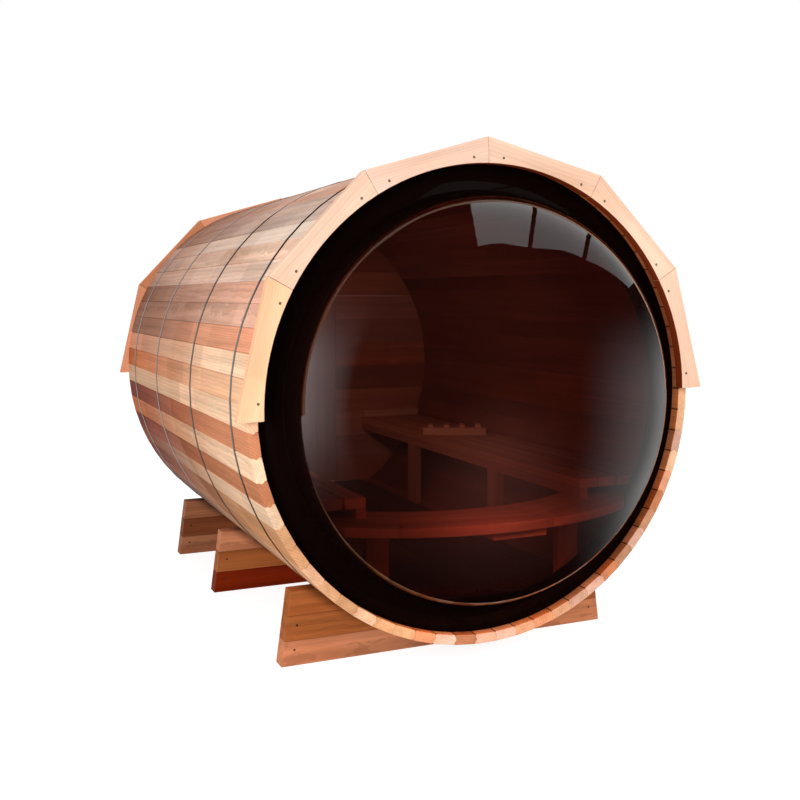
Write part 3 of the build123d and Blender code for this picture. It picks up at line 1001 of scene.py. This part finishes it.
# The ring of boards behind the flange
ringBoards = {"parts": 8, "start": 11, "seam": 0.05, "width": 0.045, "clear": 0.0003, "arcSteps": 10,
              # bark: darker than the ring's own tone, as painted shade of the ring behind the flange
              "tint": "bark"}


def makeRing():
    low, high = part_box("dome_ring")
    made = Timber("DomeRing")
    for part in range(ringBoards["parts"]):
        start = 360 / ringBoards["parts"] * part + ringBoards["start"]
        span = 360 / ringBoards["parts"] - ringBoards["seam"]
        angles = evenly(start, span, ringBoards["arcSteps"])
        outline = [ringPoint(boreApothem - ringBoards["clear"], angle) for angle in angles]
        outline += [ringPoint(boreApothem - ringBoards["width"], angle) for angle in angles[::-1]]
        made.turnedBoard(outline, acrossAt(low.y), radians(start + span / 2 - 90), high.y - low.y,
                         ringBoards["tint"])
    made.piece(ringWood, "cedar_ring", "dome_ring")


makeRing()
print("window made")


# Rear wall: horizontal boards, cut round to the staves, with a doorway

wall = {
    "board": 0.14, "seam": 0.0006, "leastBoard": 0.012, "leastEdge": 0.0008, "arcSteps": 5,
    "thickness": 0.038, "doorGap": 0.003, "battenHeight": 0.038, "battenTone": "cream",
    "tones": ("tan", "clay", "brown", "rose", "copper"),
}

bench = {
    "top": 0.67097, "inner": 0.458, "slat": 0.082, "gap": 0.008, "slats": 4,
    "tones": ("tan", "rose", "honey", "clay"), "thickness": 0.038, "rail": 0.038, "start": 0.07,
    "bearers": (0.7, 1.2468, 1.7936, 2.3404), "legs": (0.74, 1.64), "legWidth": 0.089,
}


# Half the room's width at a rise over the barrel's axis
def boreHalf(rise):
    return halfAt(boreApothem - barrel["clear"], rise)


# Section of a board from x0 out to the staves, or to most, between two heights
def slopedEnd(x0, z0, z1, side, most=1.0):
    far0, far1 = [min(most, boreHalf(z - axisZ)) for z in (z0, z1)]
    outline = [(side * x0, z0), (side * far0, z0), (side * far1, z1), (side * x0, z1)]
    return outline if side > 0 else outline[::-1]


def wallBoards(made, low, high, y0, y1, place):
    tall = wall["board"]
    for course in range(int(low.z // tall), int(high.z // tall) + 1):
        z0 = max(low.z, course * tall + wall["seam"] / 2) - axisZ
        z1 = min(high.z, (course + 1) * tall - wall["seam"] / 2) - axisZ
        heights = evenly(z0, z1 - z0, wall["arcSteps"])
        right = [(min(high.x, boreHalf(z)), z) for z in heights]
        left = [(max(low.x, -boreHalf(z)), z) for z in heights]
        outline = cleaned(right + left[::-1], wall["leastEdge"])
        if z1 - z0 >= wall["leastBoard"] and len(outline) >= 3:
            tint = wall["tones"][(course * 2 + len(place)) % len(wall["tones"])]
            made.board(outline, acrossAt(y0), y1 - y0, "x", tint)


def makeWallPiece(place):
    node = f"rear_wall_{place}"
    low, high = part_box(node)
    made = Timber("RearWall" + place.capitalize())
    y0, y1 = high.y - wall["thickness"], high.y
    if place == "middle":
        doorLow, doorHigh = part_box("rear_door")
        sill, head = doorLow.z - wall["doorGap"], doorHigh.z + wall["doorGap"]
        wallBoards(made, low, Vector((high.x, high.y, sill)), y0, y1, place)
        wallBoards(made, Vector((low.x, low.y, head)), high, y0, y1, place)
    else:
        wallBoards(made, low, high, y0, y1, place)
        side = 1 if place == "right" else -1
        outline = slopedEnd(bench["inner"], bench["top"], bench["top"] + wall["battenHeight"], side)
        made.board(outline, acrossAt(low.y, 0), y0 - low.y, "x", wall["battenTone"], edge=0.002)
    made.piece(wallWood, "cedar_wall", node)


for place in ("left", "right", "middle"):
    makeWallPiece(place)

door = {"seam": 0.0008, "tones": ("tan", "rose", "honey", "clay", "tan")}


def makeDoor():
    low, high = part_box("rear_door")
    made = Timber("RearDoor")
    width = (high.x - low.x) / len(door["tones"])
    for number, tint in enumerate(door["tones"]):
        x0 = low.x + number * width + door["seam"] / 2
        x1 = low.x + (number + 1) * width - door["seam"] / 2
        made.board(rectangle(x0, low.z, x1, high.z), acrossAt(low.y, 0), high.y - low.y, "y", tint)
    made.piece(wallWood, "cedar_door", "rear_door")


makeDoor()
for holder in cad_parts["door_fittings"].material_slots:
    holder.material = blackSteel
print("rear wall and door made")


# Floor deck, benches and headrest

deck = {
    "slats": 10, "slat": 0.088, "thickness": 0.022, "tones": ("tan", "brown", "clay", "russet"),
    # shade: the slats' tone is cut to this share, painted shade of the floor low in the room, below the
    # benches
    "shade": 0.12, "sleepers": (0.18, 0.8851, 1.5903, 2.2954), "sleeper": 0.06,
}


def makeDeck():
    low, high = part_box("floor_deck")
    made = Timber("FloorDeck")
    z0, z1 = low.z, high.z - deck["thickness"]
    half = deck["slat"] / 2
    for number in range(deck["slats"]):
        x = (number - (deck["slats"] - 1) / 2) * (2 * bench["inner"] / deck["slats"])
        made.board(rectangle(x - half, low.y, x + half, high.y), levelAt(z1), deck["thickness"], "y",
                   made.draw.choice(deck["tones"]), edge=0.003, shade=deck["shade"])
    foot, top = boreHalf(z0 - axisZ), min(bench["inner"], boreHalf(z1 - axisZ))
    for station in deck["sleepers"]:
        y = frontY + station - deck["sleeper"] / 2
        made.board([(-foot, z0), (foot, z0), (top, z1), (-top, z1)], acrossAt(y, 0), deck["sleeper"], "x",
                   "brown")
    made.piece(deckWood, "cedar_deck", "floor_deck")


makeDeck()


def makeSideBench(name, side):
    node = f"{name}_bench"
    y0 = frontY + bench["start"]
    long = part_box(node)[1].y - y0
    made = Timber(name.capitalize() + "Bench")
    z1 = bench["top"]
    z0 = z1 - bench["thickness"]
    railLow = z0 - bench["rail"]
    for number in range(bench["slats"]):
        x = bench["inner"] + number * (bench["slat"] + bench["gap"])
        outline = slopedEnd(x, z0, z1, side, x + bench["slat"])
        made.board(outline, acrossAt(y0, 0), long, "z", made.draw.choice(bench["tones"]), edge=0.003)
    x0, x1 = bench["inner"], bench["inner"] + bench["rail"]
    made.board(slopedEnd(x0, railLow, z0, side, x1), acrossAt(y0, 0), long, "z", "tan")
    for station in bench["bearers"]:
        y = frontY + station - bench["rail"] / 2
        made.board(slopedEnd(x1, railLow, z0, side), acrossAt(y, 0), bench["rail"], "x", "brown")
    for station in bench["legs"]:
        leg = [(side * x0, axisZ - boreHalf(x0)), (side * x1, axisZ - boreHalf(x1)),
               (side * x1, railLow), (side * x0, railLow)]
        made.board(leg[::side], acrossAt(frontY + station, 0), bench["legWidth"], "y", "clay")
    made.piece(benchWood, "cedar_benches", node)


makeSideBench("left", -1)
makeSideBench("right", 1)

# The curved front bench
seat = {
    "centre": 0.89, "outer": 1.095, "inner": 0.82, "thickness": 0.036,
    # the joints between its boards, in degrees from straight ahead
    "joints": (-62, -22, 9, 40, 62), "seam": 0.02, "tones": ("clay", "tan", "honey", "tan"),
    "arcSteps": 12, "leastEdge": 0.002, "clear": 0.0012, "ringDepth": 0.0202, "ringReach": 0.0452,
    "sectionSteps": 60, "postEdge": 0.455, "postWidth": 0.089, "postDepth": 0.038, "postStation": 0.075,
    "spliceX": 0.041, "spliceWidth": 0.22, "spliceThickness": 0.03, "spliceLength": 0.2,
    "spliceSetback": 0.03, "deckTop": 0.285,
}


# How far from the middle the room reaches at y and height z: the bubble, the ring or the staves
def roomHalfAt(y, z):
    station = y - frontY
    recess, sheet = bubble["recess"], bubble["sheet"]
    if station < recess:
        section = bubbleSection(recess - (domeLow.y - frontY), sheet, seat["sectionSteps"])
        reach = recess - station
        radius = 0
        for (r0, e0), (r1, e1) in zip(section, section[1:]):
            if e0 <= reach <= e1:
                radius = r0 + (r1 - r0) * (reach - e0) / max(e1 - e0, 1e-9)
    elif station < recess + sheet:
        radius = bubble["base"] - sheet
    elif station < recess + sheet + seat["ringDepth"]:
        radius = boreApothem - seat["ringReach"]
    else:
        radius = boreApothem
    return halfAt(radius - seat["clear"], z - axisZ)


def makeFrontBench():
    made = Timber("FrontBench")
    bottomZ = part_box("front_bench")[1].z - seat["thickness"]
    centreY = frontY + seat["centre"]

    def edgePoint(radius, angle):
        x = radius * sin(angle)
        y = centreY - radius * cos(angle)
        most = roomHalfAt(y, bottomZ)
        return (max(-most, min(most, x)), y)

    for a0, a1, tint in zip(seat["joints"], seat["joints"][1:], seat["tones"]):
        a0, a1 = radians(a0 + seat["seam"]), radians(a1 - seat["seam"])
        steps = seat["arcSteps"]
        outline = [edgePoint(seat["outer"], angle) for angle in evenly(a0, a1 - a0, steps)]
        outline += [edgePoint(seat["inner"], angle) for angle in evenly(a1, a0 - a1, steps)]
        made.turnedBoard(cleaned(outline, seat["leastEdge"]), levelAt(bottomZ), (a0 + a1) / 2,
                         seat["thickness"], tint, edge=0.004)
    x, half = seat["spliceX"], seat["spliceWidth"] / 2
    y = centreY - seat["outer"] + seat["spliceSetback"]
    made.board(rectangle(x - half, y, x + half, y + seat["spliceLength"]),
               levelAt(bottomZ - seat["spliceThickness"]), seat["spliceThickness"], "x", "honey")
    half = seat["postWidth"] / 2
    for side in (-1, 1):
        x = side * (seat["postEdge"] - half)
        made.board(rectangle(x - half, seat["deckTop"], x + half, bottomZ),
                   acrossAt(frontY + seat["postStation"], 0), seat["postDepth"], "y", "tan")
    made.piece(benchWood, "cedar_benches", "front_bench")


makeFrontBench()

# the cream tone is partly the headrest's pale wood and partly painted light, where light through the window
# falls on it
headrest = {"length": 0.33, "depth": 0.06, "height": 0.037, "turn": -24.0, "bumps": 4, "bump": 0.028,
            "tone": "cream"}


def makeHeadrest():
    low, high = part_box("headrest")
    made = Timber("Headrest")
    place = Matrix.Translation(((low.x + high.x) / 2, (low.y + high.y) / 2, low.z))
    place = place @ Matrix.Rotation(radians(headrest["turn"]), 4, "Z")
    half, deep, tall = headrest["length"] / 2, headrest["depth"] / 2, headrest["height"]
    made.board(rectangle(-half, -deep, half, deep), place, tall, "x", headrest["tone"], edge=0.004)
    half = headrest["bump"] / 2
    for number in range(headrest["bumps"]):
        x = (number - (headrest["bumps"] - 1) / 2) * headrest["length"] / headrest["bumps"]
        made.board(rectangle(x - half, -deep, x + half, deep), place @ levelAt(tall),
                   high.z - low.z - tall, "x", headrest["tone"], edge=0.005)
    made.piece(paleAndLitWood, "pale_headrest", "headrest")


makeHeadrest()
print("benches made")
